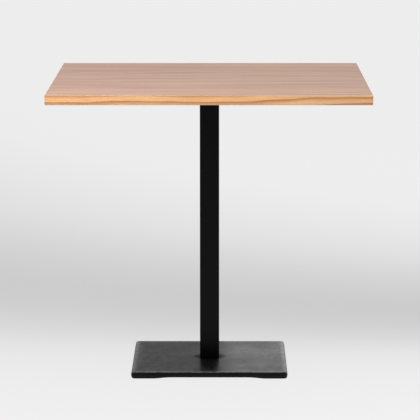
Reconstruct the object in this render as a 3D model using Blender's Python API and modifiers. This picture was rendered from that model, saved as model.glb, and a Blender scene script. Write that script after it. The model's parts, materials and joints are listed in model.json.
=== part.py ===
"""Square bistro table: a veneered top on a square steel column and a cast-iron foot plate.

Metres, +Z up. The origin is on the floor under the column's centre. X runs with the grain of the top
and the front edge of the table is at -Y. The column stands over a spigot cast on the foot plate, and a
tie rod clamps the foot plate, the column and the mounting plate together. The top is screwed to the
mounting plate from below. Each levelling foot is a stud that turns in a pad: turning the stud out of
the casting lowers the pad.
"""

import math

import bmesh
import bpy

MM = 0.001

# Overall sizes
TABLE_HEIGHT = 750 * MM
TOP_WIDTH = 800 * MM
TOP_DEPTH = 800 * MM
TOP_THICKNESS = 24 * MM
COLUMN_WIDTH = 50 * MM
BASE_WIDTH = 400 * MM
BASE_DEPTH = 400 * MM
BASE_HEIGHT = 17 * MM

# Clearances
FIT_GAP = 0.3 * MM  # between pieces that touch
THREAD_GAP = 0.3 * MM  # around a screw in its thread, on the radius
HOLE_GAP = 0.5 * MM  # around a screw or rod in a plain hole, on the radius
CUT_OVERSHOOT = 5 * MM  # how far a cutter runs past the face that it opens

# Tabletop
VENEER = 0.6 * MM
LIPPING = 4 * MM
EASED_EDGE = 2 * MM

# Foot plate
CORNER_RADIUS = 12 * MM
DRAFT = 1.2 * MM  # how far the walls lean in, from the parting line to where each rim starts to round
TOP_ROUNDING = 4.5 * MM
BOTTOM_ROUNDING = 3 * MM
ARCH_RISE = 3 * MM  # the underside between the corners stands this much above them
RAMP_LENGTH = 50 * MM
RAMP_LEAD = 0.3 * MM  # how far below the corners the arch's cutter starts
CORNER_MARGIN = 4 * MM  # level iron left between a foot's recess and the ramp
SPIGOT_HEIGHT = 10 * MM
CASTING_WALL = 3 * MM  # iron left over the recess of the rod's nut and over each stud's hole

# Column
COLUMN_WALL = 2.5 * MM
COLUMN_OUTER_RADIUS = 3 * MM
COLUMN_INNER_RADIUS = 1 * MM

# Mounting plate and its locator
PLATE_WIDTH = 300 * MM
PLATE_THICKNESS = 5 * MM
PLATE_CORNER = 15 * MM
SCREW_INSET = 25 * MM  # from the plate's edge to the screws
LOCATOR_HEIGHT = 15 * MM
LOCATOR_CORNER = 2 * MM  # the spigot's corners too
LOCATOR_CHAMFER = 1.2 * MM

# M10 tie rod with its nuts and washers
ROD_RADIUS = 5 * MM
ROD_CHAMFER = 1 * MM
ROD_STAND_OUT = 2 * MM  # past each nut
NUT_ACROSS_FLATS = 17 * MM
NUT_CHAMFER = math.radians(30)
UPPER_NUT_HEIGHT = 8 * MM
LOWER_NUT_HEIGHT = 6 * MM
WASHER_RADIUS = 15 * MM
WASHER_THICKNESS = 2.5 * MM
POCKET_GAP = 4 * MM  # around each washer
POCKET_HEADROOM = 2 * MM  # above the rod's upper end

# M6 plate screws and their threaded inserts
SCREW_RADIUS = 3 * MM
SCREW_LENGTH = 16 * MM  # under the head
SCREW_CHAMFER = 0.6 * MM
HEAD_RADIUS = 5.5 * MM
HEAD_HEIGHT = 3.3 * MM
HEAD_RIM = 0.8 * MM
SCREW_KEY = 4 * MM  # across the flats of the socket
SCREW_KEY_DEPTH = 2 * MM
INSERT_RADIUS = 5 * MM
INSERT_LENGTH = 13 * MM
INSERT_RIDGE_DEPTH = 0.6 * MM
INSERT_RIDGES = 3
INSERT_CREST = 0.3  # share of each ridge's pitch that its flat crest takes
INSERT_HOLE_GAP = 2 * MM  # above the insert, and above the screw's tip if that reaches higher

# M8 levelling feet
FOOT_INSET = 30 * MM  # from the sides of the foot plate to a foot's axis
PAD_RADIUS = 15 * MM
PAD_HEIGHT = 5 * MM
PAD_STAND_OUT = 1 * MM  # below the casting's corners, screwed right in
PAD_ROUNDING = 1.2 * MM
PAD_FLOOR = 1.3 * MM  # the web under the stud's head
PAD_RECESS_GAP = 1.5 * MM
STUD_RADIUS = 4 * MM
STUD_CHAMFER = 0.8 * MM
STUD_HEAD_RADIUS = 7 * MM
STUD_HEAD_HEIGHT = 2 * MM
STUD_TIP_GAP = 1 * MM  # above the stud, screwed right in
STUD_KEY = 4 * MM
STUD_KEY_DEPTH = 1.4 * MM
KEY_HOLE_RADIUS = 3 * MM

# Facets
ROUND_STEPS = 24
SMALL_STEPS = 12  # for the screws, studs and inserts
CORNER_STEPS = 5
RIM_STEPS = 3
RAMP_STEPS = 6

# Heights that follow
BASE_TOP = PAD_STAND_OUT + BASE_HEIGHT
TOP_UNDERSIDE = TABLE_HEIGHT - TOP_THICKNESS
PLATE_TOP = TOP_UNDERSIDE - FIT_GAP
PLATE_UNDERSIDE = PLATE_TOP - PLATE_THICKNESS
COLUMN_BOTTOM = BASE_TOP + FIT_GAP
COLUMN_TOP = PLATE_UNDERSIDE - FIT_GAP

UPPER_WASHER_BOTTOM = PLATE_TOP + FIT_GAP
UPPER_NUT_BOTTOM = UPPER_WASHER_BOTTOM + WASHER_THICKNESS + FIT_GAP
ROD_TOP = UPPER_NUT_BOTTOM + UPPER_NUT_HEIGHT + ROD_STAND_OUT
LOWER_RECESS_TOP = BASE_TOP - CASTING_WALL
STUD_HOLE_TOP = BASE_TOP - CASTING_WALL
STUD_TIP = STUD_HOLE_TOP - STUD_TIP_GAP
LOWER_WASHER_BOTTOM = LOWER_RECESS_TOP - FIT_GAP - WASHER_THICKNESS
LOWER_NUT_BOTTOM = LOWER_WASHER_BOTTOM - FIT_GAP - LOWER_NUT_HEIGHT
ROD_BOTTOM = LOWER_NUT_BOTTOM - ROD_STAND_OUT

# Sizes across that follow
COLUMN_BORE = COLUMN_WIDTH - 2 * COLUMN_WALL
LOCATOR_WIDTH = COLUMN_BORE - 2 * FIT_GAP
ROD_HOLE_RADIUS = ROD_RADIUS + HOLE_GAP
POCKET_RADIUS = WASHER_RADIUS + POCKET_GAP
PAD_RECESS_RADIUS = PAD_RADIUS + PAD_RECESS_GAP
CORNER_PAD_LENGTH = FOOT_INSET + PAD_RECESS_RADIUS + CORNER_MARGIN


# ---------------------------------------------------------------- scene and materials


def clear_scene():
    for obj in list(bpy.data.objects):
        bpy.data.objects.remove(obj)


def new_collection(name):
    collection = bpy.data.collections.new(name)
    bpy.context.scene.collection.children.link(collection)
    return collection


def finish(name, colour, roughness, metallic):
    """A plain Principled material."""
    material = bpy.data.materials.new(name)
    material.use_nodes = True
    shader = material.node_tree.nodes["Principled BSDF"]
    shader.inputs["Base Color"].default_value = (*colour, 1)
    shader.inputs["Roughness"].default_value = roughness
    shader.inputs["Metallic"].default_value = metallic
    return material


clear_scene()
PARTS = new_collection("bistro_table")
HELPERS = new_collection("cutters")

OAK_FACE = finish("oak_face", (0.56, 0.36, 0.22), 0.45, 0)
OAK_EDGE = finish("oak_edge", (0.62, 0.36, 0.16), 0.45, 0)
CHIPBOARD = finish("chipboard", (0.48, 0.34, 0.2), 0.9, 0)
POWDER_COAT = finish("black_powder_coat", (0.012, 0.012, 0.013), 0.4, 0)
CAST_COAT = finish("textured_black_coat", (0.02, 0.02, 0.021), 0.5, 0)
ZINC = finish("zinc_plate", (0.55, 0.56, 0.58), 0.35, 1)
BLACK_STEEL = finish("black_oxide_steel", (0.03, 0.03, 0.032), 0.4, 1)
NYLON = finish("black_nylon", (0.02, 0.02, 0.02), 0.6, 0)


# ---------------------------------------------------------------- building tools


def add_object(name, data, material, place=(0, 0, 0), parent=None):
    """A cutter, or a copy whose data has its material already, comes with no material."""
    obj = bpy.data.objects.new(name, data)
    obj.location = place
    obj.parent = parent
    PARTS.objects.link(obj)
    if material:
        data.materials.append(material)
    return obj


def add_group(name, place):
    """An empty that carries the pieces of one sub-assembly."""
    empty = bpy.data.objects.new(name, None)
    empty.location = place
    PARTS.objects.link(empty)
    return empty


def make_helper(obj):
    """Turns an object into a hidden cutter."""
    PARTS.objects.unlink(obj)
    HELPERS.objects.link(obj)
    obj.hide_render = True
    obj.display_type = "WIRE"
    return obj


def cutter_set(name, cutters):
    """A collection that one Boolean can subtract as a whole."""
    group = bpy.data.collections.new(name)
    HELPERS.children.link(group)
    for cutter in cutters:
        group.objects.link(make_helper(cutter))
    return group


def subtract(obj, cutters):
    cut = obj.modifiers.new("cut", "BOOLEAN")
    cut.operation = "DIFFERENCE"
    cut.operand_type = "COLLECTION"
    cut.collection = cutters


def combine(obj, other, operation):
    boolean = obj.modifiers.new(operation.lower(), "BOOLEAN")
    boolean.operation = operation
    boolean.object = make_helper(other)


def baked(obj):
    """Replaces an object's modifiers, or a curve, by the mesh that they make, so that copies can share it."""
    bpy.context.view_layer.update()
    graph = bpy.context.evaluated_depsgraph_get()
    mesh = bpy.data.meshes.new_from_object(obj.evaluated_get(graph))
    work = bmesh.new()
    work.from_mesh(mesh)
    bmesh.ops.remove_doubles(work, verts=work.verts, dist=0.001 * MM)
    work.to_mesh(mesh)
    work.free()
    mesh.name = obj.name
    name, parent, matrix = obj.name, obj.parent, obj.matrix_basis.copy()
    bpy.data.objects.remove(obj)
    solid = add_object(name, mesh, None, parent=parent)
    solid.matrix_basis = matrix
    return solid


def shade_round(mesh):
    mesh.shade_smooth()
    mesh.set_sharp_from_angle(angle=math.radians(35))


def block_mesh(size):
    """A cuboid centred on its origin, as an open bmesh."""
    work = bmesh.new()
    bmesh.ops.create_cube(work, size=1)
    bmesh.ops.scale(work, vec=size, verts=work.verts)
    return work


def to_mesh(work, name):
    mesh = bpy.data.meshes.new(name)
    work.to_mesh(mesh)
    work.free()
    return mesh


def block(name, size, material, place, parent=None):
    return add_object(name, to_mesh(block_mesh(size), name), material, place, parent)


def round_edges(work, edges, radius, segments):
    bmesh.ops.bevel(work, geom=edges, offset=radius, segments=segments, profile=0.5, affect="EDGES")


def edges_where(work, test):
    """The edges whose two ends both pass the test."""
    return [edge for edge in work.edges if all(test(vert.co) for vert in edge.verts)]


def turned(name, profile, material, place=(0, 0, 0), parent=None, steps=ROUND_STEPS):
    """A solid of revolution about its own Z axis. The (radius, height) points run down the outer side."""
    mesh = bpy.data.meshes.new(name)
    edges = [(i, i + 1) for i in range(len(profile) - 1)]
    if profile[0][0] > 0:
        edges.append((len(profile) - 1, 0))
    mesh.from_pydata([(radius, 0, height) for radius, height in profile], edges, [])
    obj = add_object(name, mesh, material, place, parent)
    screw = obj.modifiers.new("turn", "SCREW")
    screw.steps = screw.render_steps = steps
    screw.use_merge_vertices = True
    screw.merge_threshold = 0.001 * MM
    screw.use_smooth_shade = True
    return obj


def cylinder_profile(radius, bottom, top):
    return [(0, top), (radius, top), (radius, bottom), (0, bottom)]


def rod_profile(radius, bottom, top, chamfer):
    return [
        (0, top),
        (radius - chamfer, top),
        (radius, top - chamfer),
        (radius, bottom + chamfer),
        (radius - chamfer, bottom),
        (0, bottom),
    ]


def ring_profile(inner, outer, bottom, top):
    return [(inner, top), (outer, top), (outer, bottom), (inner, bottom)]


def rounded_rectangle(width, depth, radius):
    """Outline points, counter-clockwise, with an arc of CORNER_STEPS segments at each corner."""
    points = []
    for turn, (x_side, y_side) in enumerate(((1, 1), (-1, 1), (-1, -1), (1, -1))):
        for step in range(CORNER_STEPS + 1):
            angle = math.tau / 4 * (turn + step / CORNER_STEPS)
            x = x_side * (width / 2 - radius) + radius * math.cos(angle)
            y = y_side * (depth / 2 - radius) + radius * math.sin(angle)
            points.append((x, y))
    return points


def polygon(radius, sides, centre=(0, 0)):
    angles = [math.tau * side / sides for side in range(sides)]
    return [(centre[0] + radius * math.cos(a), centre[1] + radius * math.sin(a)) for a in angles]


def hexagon(across_flats):
    return polygon(across_flats / math.sqrt(3), 6)


def extruded(name, outlines, height, material, place=(0, 0, 0), parent=None):
    """A flat outline, less the outlines inside it, thickened by height about its own XY plane."""
    curve = bpy.data.curves.new(name, "CURVE")
    curve.dimensions = "2D"
    curve.fill_mode = "BOTH"
    curve.extrude = height / 2
    for outline in outlines:
        spline = curve.splines.new("POLY")
        spline.points.add(len(outline) - 1)
        for point, (x, y) in zip(spline.points, outline):
            point.co = (x, y, 0, 1)
        spline.use_cyclic_u = True
    return add_object(name, curve, material, place, parent)


# ---------------------------------------------------------------- tabletop


def screw_places():
    """The eight plate screws: one near each corner of the mounting plate and one at each side's middle."""
    reach = PLATE_WIDTH / 2 - SCREW_INSET
    steps = (-reach, 0, reach)
    return [(x, y) for y in steps for x in steps if (x, y) != (0, 0)]


def make_lipping(name, length, distance, turn, top):
    """One solid strip, mitred at both ends, with its outer arrises eased. It lies along X before the turn."""
    mitre_gap = FIT_GAP * math.sqrt(2) / 2
    work = block_mesh((length - 2 * mitre_gap, LIPPING, TOP_THICKNESS))
    for vert in work.verts:
        if vert.co.y > 0:
            vert.co.x -= math.copysign(LIPPING, vert.co.x)
    outer = edges_where(work, lambda co: co.y < 0)
    arrises = [edge for edge in outer if abs(edge.verts[0].co.x - edge.verts[1].co.x) > LIPPING]
    round_edges(work, arrises, EASED_EDGE, 3)
    mesh = to_mesh(work, name)
    shade_round(mesh)
    strip = add_object(name, mesh, OAK_EDGE, parent=top)
    centre = distance / 2 - LIPPING / 2
    strip.rotation_euler.z = turn
    strip.location = (centre * math.sin(turn), -centre * math.cos(turn), TOP_THICKNESS / 2)


def make_tabletop():
    top = add_group("tabletop", (0, 0, TOP_UNDERSIDE))
    quarter = math.tau / 4
    make_lipping("front_lipping", TOP_WIDTH, TOP_DEPTH, 0, top)
    make_lipping("right_lipping", TOP_DEPTH, TOP_WIDTH, quarter, top)
    make_lipping("back_lipping", TOP_WIDTH, TOP_DEPTH, 2 * quarter, top)
    make_lipping("left_lipping", TOP_DEPTH, TOP_WIDTH, 3 * quarter, top)

    width = TOP_WIDTH - 2 * (LIPPING + FIT_GAP)
    depth = TOP_DEPTH - 2 * (LIPPING + FIT_GAP)
    core_height = TOP_THICKNESS - 2 * (VENEER + FIT_GAP)
    sheet = (width, depth, VENEER)
    block("top_veneer", sheet, OAK_FACE, (0, 0, TOP_THICKNESS - VENEER / 2), top)
    under = block("bottom_veneer", sheet, OAK_FACE, (0, 0, VENEER / 2), top)
    core = block("core_panel", (width, depth, core_height), CHIPBOARD, (0, 0, TOP_THICKNESS / 2), top)

    screw_reach = SCREW_LENGTH - PLATE_THICKNESS - 2 * FIT_GAP
    hole_depth = max(INSERT_LENGTH, screw_reach) + INSERT_HOLE_GAP
    hole = cylinder_profile(INSERT_RADIUS + FIT_GAP, -CUT_OVERSHOOT, hole_depth)
    pocket_top = ROD_TOP - TOP_UNDERSIDE + POCKET_HEADROOM
    pocket = cylinder_profile(POCKET_RADIUS, -CUT_OVERSHOOT, pocket_top)
    cutters = [turned("nut_pocket_cutter", pocket, None, parent=top)]
    for number, (x, y) in enumerate(screw_places(), 1):
        name = f"insert_hole_cutter_{number}"
        cutters.append(turned(name, hole, None, (x, y, 0), top, SMALL_STEPS))
    cutters = cutter_set("tabletop_cutters", cutters)
    subtract(core, cutters)
    subtract(under, cutters)


# ---------------------------------------------------------------- plate screws and inserts


def insert_profile():
    """A ring with ridges outside that bite into the core."""
    bore = SCREW_RADIUS + THREAD_GAP
    waist = INSERT_RADIUS - INSERT_RIDGE_DEPTH
    pitch = INSERT_LENGTH / INSERT_RIDGES
    profile = [(bore, INSERT_LENGTH), (waist, INSERT_LENGTH)]
    for ridge in range(INSERT_RIDGES):
        middle = INSERT_LENGTH - (ridge + 0.5) * pitch
        profile.append((INSERT_RADIUS, middle + INSERT_CREST / 2 * pitch))
        profile.append((INSERT_RADIUS, middle - INSERT_CREST / 2 * pitch))
        profile.append((waist, middle - pitch / 2))
    return profile + [(bore, 0)]


def make_screw(name, place):
    """A button-head screw, head down, with its origin under the head."""
    dome = [
        (HEAD_RADIUS * math.cos(angle), -HEAD_RIM - (HEAD_HEIGHT - HEAD_RIM) * math.sin(angle))
        for angle in (math.radians(degrees) for degrees in (0, 20, 40, 60))
    ]
    profile = [
        (0, SCREW_LENGTH),
        (SCREW_RADIUS - SCREW_CHAMFER, SCREW_LENGTH),
        (SCREW_RADIUS, SCREW_LENGTH - SCREW_CHAMFER),
        (SCREW_RADIUS, 0),
        (HEAD_RADIUS, 0),
        *dome,
        (0, dome[-1][1]),
    ]
    screw = turned(name, profile, BLACK_STEEL, place, steps=SMALL_STEPS)
    socket_height = SCREW_KEY_DEPTH + CUT_OVERSHOOT
    socket_centre = dome[-1][1] + SCREW_KEY_DEPTH - socket_height / 2
    socket = extruded(name + "_socket", [hexagon(SCREW_KEY)], socket_height, None)
    socket.location = (place[0], place[1], place[2] + socket_centre)
    combine(screw, baked(socket), "DIFFERENCE")
    return baked(screw)


def make_plate_fixings():
    under_plate = PLATE_UNDERSIDE - FIT_GAP
    places = screw_places()
    screw = make_screw("plate_screw_1", (*places[0], under_plate))
    shade_round(screw.data)
    top_insert = (*places[0], TOP_UNDERSIDE)
    insert = turned("threaded_insert_1", insert_profile(), ZINC, top_insert, steps=SMALL_STEPS)
    for number, (x, y) in enumerate(places[1:], 2):
        add_object(f"plate_screw_{number}", screw.data, None, (x, y, under_plate))
        copy = insert.copy()
        copy.name = f"threaded_insert_{number}"
        copy.location = (x, y, TOP_UNDERSIDE)
        PARTS.objects.link(copy)


# ---------------------------------------------------------------- mounting plate and column


def make_mounting_plate():
    outline = rounded_rectangle(PLATE_WIDTH, PLATE_WIDTH, PLATE_CORNER)
    holes = [polygon(SCREW_RADIUS + HOLE_GAP, SMALL_STEPS, place) for place in screw_places()]
    holes.append(polygon(ROD_HOLE_RADIUS, ROUND_STEPS))
    centre = (0, 0, PLATE_UNDERSIDE + PLATE_THICKNESS / 2)
    extruded("mounting_plate", [outline, *holes], PLATE_THICKNESS, POWDER_COAT, centre)


def locator_block(name, height, place, entry):
    """A square plug that fits the column's bore. The end that enters it is chamfered: 1 upper, -1 lower."""
    work = block_mesh((LOCATOR_WIDTH, LOCATOR_WIDTH, height))
    uprights = [edge for edge in work.edges if edge.verts[0].co.z * edge.verts[1].co.z < 0]
    round_edges(work, uprights, LOCATOR_CORNER, 3)
    round_edges(work, edges_where(work, lambda co: co.z * entry > 0), LOCATOR_CHAMFER, 1)
    return add_object(name, to_mesh(work, name), BLACK_STEEL, place)


def make_upper_locator():
    centre = COLUMN_TOP - LOCATOR_HEIGHT / 2
    locator = locator_block("upper_locator", LOCATOR_HEIGHT, (0, 0, centre), -1)
    reach = LOCATOR_HEIGHT / 2 + CUT_OVERSHOOT
    bore = cylinder_profile(ROD_HOLE_RADIUS, -reach, reach)
    subtract(locator, cutter_set("locator_cutters", [turned("locator_bore", bore, None, (0, 0, centre))]))


def make_column():
    outer = rounded_rectangle(COLUMN_WIDTH, COLUMN_WIDTH, COLUMN_OUTER_RADIUS)
    inner = rounded_rectangle(COLUMN_BORE, COLUMN_BORE, COLUMN_INNER_RADIUS)
    centre = (0, 0, (COLUMN_BOTTOM + COLUMN_TOP) / 2)
    extruded("column_tube", [outer, inner], COLUMN_TOP - COLUMN_BOTTOM, POWDER_COAT, centre)


# ---------------------------------------------------------------- tie rod


def make_nut(name, bottom, height):
    """A hexagon nut with both faces chamfered."""
    bore = polygon(ROD_RADIUS + THREAD_GAP, ROUND_STEPS)
    body = extruded(name, [hexagon(NUT_ACROSS_FLATS), bore], height, ZINC, (0, 0, bottom + height / 2))
    flat = NUT_ACROSS_FLATS / 2
    reach = flat + CUT_OVERSHOOT
    shoulder = height / 2 - CUT_OVERSHOOT * math.tan(NUT_CHAMFER)
    ends = height / 2 + CUT_OVERSHOOT
    upper = [(0, ends), (flat, ends), (flat, height / 2), (reach, shoulder)]
    lens = upper + [(radius, -z) for radius, z in reversed(upper)]
    nut = baked(body)
    combine(nut, turned(name + "_chamfer", lens, None, nut.location), "INTERSECT")


def make_tie_rod():
    profile = rod_profile(ROD_RADIUS, ROD_BOTTOM, ROD_TOP, ROD_CHAMFER)
    turned("tie_rod", profile, ZINC)
    washer = ring_profile(ROD_RADIUS + HOLE_GAP, WASHER_RADIUS, 0, WASHER_THICKNESS)
    turned("upper_washer", washer, ZINC, (0, 0, UPPER_WASHER_BOTTOM))
    turned("lower_washer", washer, ZINC, (0, 0, LOWER_WASHER_BOTTOM))
    make_nut("upper_nut", UPPER_NUT_BOTTOM, UPPER_NUT_HEIGHT)
    make_nut("lower_nut", LOWER_NUT_BOTTOM, LOWER_NUT_HEIGHT)


# ---------------------------------------------------------------- foot plate


def foot_places():
    x = BASE_WIDTH / 2 - FOOT_INSET
    y = BASE_DEPTH / 2 - FOOT_INSET
    return {
        "front_left": (-x, -y),
        "front_right": (x, -y),
        "back_left": (-x, y),
        "back_right": (x, y),
    }


def casting_body():
    """The foot plate's outside: rounded corners, walls that lean in from the parting line, rounded rims."""
    half = BASE_HEIGHT / 2
    work = block_mesh((BASE_WIDTH - 2 * DRAFT, BASE_DEPTH - 2 * DRAFT, BASE_HEIGHT))
    uprights = [edge for edge in work.edges if edge.verts[0].co.z * edge.verts[1].co.z < 0]
    round_edges(work, uprights, CORNER_RADIUS, CORNER_STEPS)
    geometry = work.verts[:] + work.edges[:] + work.faces[:]
    bmesh.ops.bisect_plane(work, geom=geometry, plane_co=(0, 0, 0), plane_no=(0, 0, 1))
    parting = [vert for vert in work.verts if abs(vert.co.z) < half / 2]
    spread = (BASE_WIDTH / (BASE_WIDTH - 2 * DRAFT), BASE_DEPTH / (BASE_DEPTH - 2 * DRAFT), 1)
    bmesh.ops.scale(work, vec=spread, verts=parting)
    round_edges(work, edges_where(work, lambda co: co.z > half / 2), TOP_ROUNDING, RIM_STEPS)
    round_edges(work, edges_where(work, lambda co: co.z < -half / 2), BOTTOM_ROUNDING, RIM_STEPS)
    mesh = to_mesh(work, "base_plate")
    shade_round(mesh)
    return add_object("base_plate", mesh, CAST_COAT, (0, 0, PAD_STAND_OUT + half))


def arch_cutter(name, span, depth, turn):
    """Clears the underside between the corners of two opposite sides, easing down to level corner pads."""
    level = span / 2 - CORNER_PAD_LENGTH - RAMP_LENGTH
    ramp = []
    for step in range(RAMP_STEPS + 1):
        share = step / RAMP_STEPS
        eased = share * share * (3 - 2 * share)
        height = PAD_STAND_OUT - RAMP_LEAD + (ARCH_RISE + RAMP_LEAD) * eased
        ramp.append((level + RAMP_LENGTH * (1 - share), height))
    right = [(ramp[0][0], -CUT_OVERSHOOT), *ramp]
    outline = right + [(-x, height) for x, height in reversed(right)]
    cutter = extruded(name, [outline], depth + 2 * CUT_OVERSHOOT, None)
    cutter.rotation_euler = (math.tau / 4, 0, turn)
    return baked(cutter)


def foot_hole_profile():
    """The pad's recess with the blind thread hole above it."""
    recess_top = PAD_HEIGHT + FIT_GAP
    thread = STUD_RADIUS + THREAD_GAP
    return [
        (0, STUD_HOLE_TOP),
        (thread, STUD_HOLE_TOP),
        (thread, recess_top),
        (PAD_RECESS_RADIUS, recess_top),
        (PAD_RECESS_RADIUS, -CUT_OVERSHOOT),
        (0, -CUT_OVERSHOOT),
    ]


def rod_hole_profile():
    """The recess for the rod's lower nut, and the rod's hole up through the spigot."""
    past_spigot = BASE_TOP + SPIGOT_HEIGHT + CUT_OVERSHOOT
    return [
        (0, past_spigot),
        (ROD_HOLE_RADIUS, past_spigot),
        (ROD_HOLE_RADIUS, LOWER_RECESS_TOP),
        (POCKET_RADIUS, LOWER_RECESS_TOP),
        (POCKET_RADIUS, -CUT_OVERSHOOT),
        (0, -CUT_OVERSHOOT),
    ]


def make_base_plate():
    plate = casting_body()
    root = SPIGOT_HEIGHT / 2
    spigot = locator_block("spigot", SPIGOT_HEIGHT + root, (0, 0, BASE_TOP + (SPIGOT_HEIGHT - root) / 2), 1)
    combine(plate, spigot, "UNION")
    cutters = [
        arch_cutter("side_to_side_arch", BASE_WIDTH, BASE_DEPTH, 0),
        arch_cutter("front_to_back_arch", BASE_DEPTH, BASE_WIDTH, math.tau / 4),
        turned("rod_hole_cutter", rod_hole_profile(), None),
    ]
    for corner, (x, y) in foot_places().items():
        cutters.append(turned(corner + "_foot_cutter", foot_hole_profile(), None, (x, y, 0)))
    subtract(plate, cutter_set("base_cutters", cutters))


# ---------------------------------------------------------------- levelling feet


def pad_profile():
    """A disc with a captive cavity for the stud's head and a hole below it for the key."""
    cavity_top = PAD_FLOOR + STUD_HEAD_HEIGHT + 2 * FIT_GAP
    neck = STUD_RADIUS + FIT_GAP
    cavity = STUD_HEAD_RADIUS + FIT_GAP
    rounding = []
    for angle in (0, math.tau / 8, math.tau / 4):
        radius = PAD_RADIUS - PAD_ROUNDING * (1 - math.cos(angle))
        rounding.append((radius, PAD_ROUNDING * (1 - math.sin(angle))))
    return [
        (neck, PAD_HEIGHT),
        (PAD_RADIUS, PAD_HEIGHT),
        *rounding,
        (KEY_HOLE_RADIUS, 0),
        (KEY_HOLE_RADIUS, PAD_FLOOR),
        (cavity, PAD_FLOOR),
        (cavity, cavity_top),
        (neck, cavity_top),
    ]


def stud_profile():
    """A threaded stud on a flat round head, which the pad holds."""
    head_bottom = PAD_FLOOR + FIT_GAP
    head_top = head_bottom + STUD_HEAD_HEIGHT
    return [
        (0, STUD_TIP),
        (STUD_RADIUS - STUD_CHAMFER, STUD_TIP),
        (STUD_RADIUS, STUD_TIP - STUD_CHAMFER),
        (STUD_RADIUS, head_top),
        (STUD_HEAD_RADIUS, head_top),
        (STUD_HEAD_RADIUS, head_bottom),
        (0, head_bottom),
    ]


def make_stud(name):
    stud = turned(name, stud_profile(), ZINC, steps=SMALL_STEPS)
    height = STUD_KEY_DEPTH + PAD_FLOOR
    centre = PAD_FLOOR + FIT_GAP + STUD_KEY_DEPTH - height / 2
    socket = extruded(name + "_socket", [hexagon(STUD_KEY)], height, None, (0, 0, centre))
    combine(stud, baked(socket), "DIFFERENCE")
    return baked(stud)


def make_feet():
    stud_mesh = None
    for corner, (x, y) in foot_places().items():
        foot = add_group(corner + "_foot", (x, y, 0))
        turned(corner + "_foot_pad", pad_profile(), NYLON, parent=foot)
        if stud_mesh is None:
            stud = make_stud(corner + "_foot_stud")
            stud_mesh = stud.data
            shade_round(stud_mesh)
            stud.parent = foot
        else:
            add_object(corner + "_foot_stud", stud_mesh, None, parent=foot)


make_tabletop()
make_plate_fixings()
make_mounting_plate()
make_upper_locator()
make_column()
make_tie_rod()
make_base_plate()
make_feet()
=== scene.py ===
"""Looks for the square bistro table: detailed pieces, procedural materials, stage, lights and camera.

Metres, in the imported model's own frame: the floor is at z = 0 and the front edge faces -Y. Each piece
stands for the CAD node it is named after, in the same place and to the same size.
"""

import json
import math

import bmesh
import bpy
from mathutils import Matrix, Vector

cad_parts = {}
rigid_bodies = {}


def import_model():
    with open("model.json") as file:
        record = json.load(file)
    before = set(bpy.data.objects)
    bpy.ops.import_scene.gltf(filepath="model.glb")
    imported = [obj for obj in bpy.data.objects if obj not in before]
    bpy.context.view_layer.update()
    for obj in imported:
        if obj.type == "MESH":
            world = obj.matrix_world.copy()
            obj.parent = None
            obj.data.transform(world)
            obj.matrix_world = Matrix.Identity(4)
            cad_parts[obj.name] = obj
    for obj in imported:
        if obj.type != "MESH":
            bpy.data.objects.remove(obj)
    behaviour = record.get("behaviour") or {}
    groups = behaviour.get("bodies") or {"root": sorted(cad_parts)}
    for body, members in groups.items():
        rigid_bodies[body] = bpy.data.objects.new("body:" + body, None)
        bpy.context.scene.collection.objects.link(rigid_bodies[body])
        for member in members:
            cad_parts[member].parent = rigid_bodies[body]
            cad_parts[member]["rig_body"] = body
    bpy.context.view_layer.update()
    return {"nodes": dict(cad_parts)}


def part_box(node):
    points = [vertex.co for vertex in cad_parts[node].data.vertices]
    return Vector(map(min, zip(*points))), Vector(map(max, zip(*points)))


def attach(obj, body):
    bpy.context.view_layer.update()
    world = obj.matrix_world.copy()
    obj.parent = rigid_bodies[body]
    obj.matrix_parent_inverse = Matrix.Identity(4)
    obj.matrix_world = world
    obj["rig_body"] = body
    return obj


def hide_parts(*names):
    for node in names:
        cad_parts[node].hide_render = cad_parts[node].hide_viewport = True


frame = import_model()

MM = 0.001

# Facets
ROUND_STEPS = 48
THREAD_STEPS = 32
CORNER_STEPS = 8
RIM_STEPS = 8
EDGE_STEPS = 6  # over the eased edges of the top and the rounded ones of the pads and screws
EASE_STEPS = 4  # over the smallest roundings
SOCKET_STEPS = 36  # a multiple of six, so that the sockets' corners are sharp
PAD_STEPS = 64
KNURL_STEPS = 4  # points from one knurl of an insert to the next
STRAIGHT_STEPS = 6  # along each side of the column and of its locator
TUBE_CORNER_STEPS = 12
UNDERSIDE_RINGS = 22
TOP_RINGS = 20
STAGE_STEPS = 96

# Tabletop
LACQUER_LINE = 0.02 * MM  # the hairline left between glued pieces
EASED_EDGE = 2 * MM
CORNER_EASING = 1 * MM  # on the upright corner of two lippings
FULL_SECTION = 5 * MM  # from a mitre's tip, where a lipping starts to narrow
VENEER_EDGE = 0.1 * MM  # the sharp but not perfect edge of the veneer
FACE_PALE = (0.545, 0.312, 0.212)
FACE_DARK = (0.285, 0.153, 0.101)
FACE_MIDDLE = (0.40, 0.225, 0.152)
FACE_ROUGHNESS = 0.42
BACK_PALE = (0.47, 0.3, 0.18)
BACK_DARK = (0.33, 0.2, 0.115)
BACK_ROUGHNESS = 0.58
EDGE_PALE = (0.53, 0.3, 0.146)
EDGE_DARK = (0.33, 0.145, 0.055)
PORE_DARK = (0.16, 0.08, 0.03)
RINGS_ACROSS = 1.35  # growth lines over the thickness of the top
FLARE_START = 1.3 * MM  # below the top face, where a lipping takes on the veneer's colour
FLARE_END = 0.3 * MM

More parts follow.
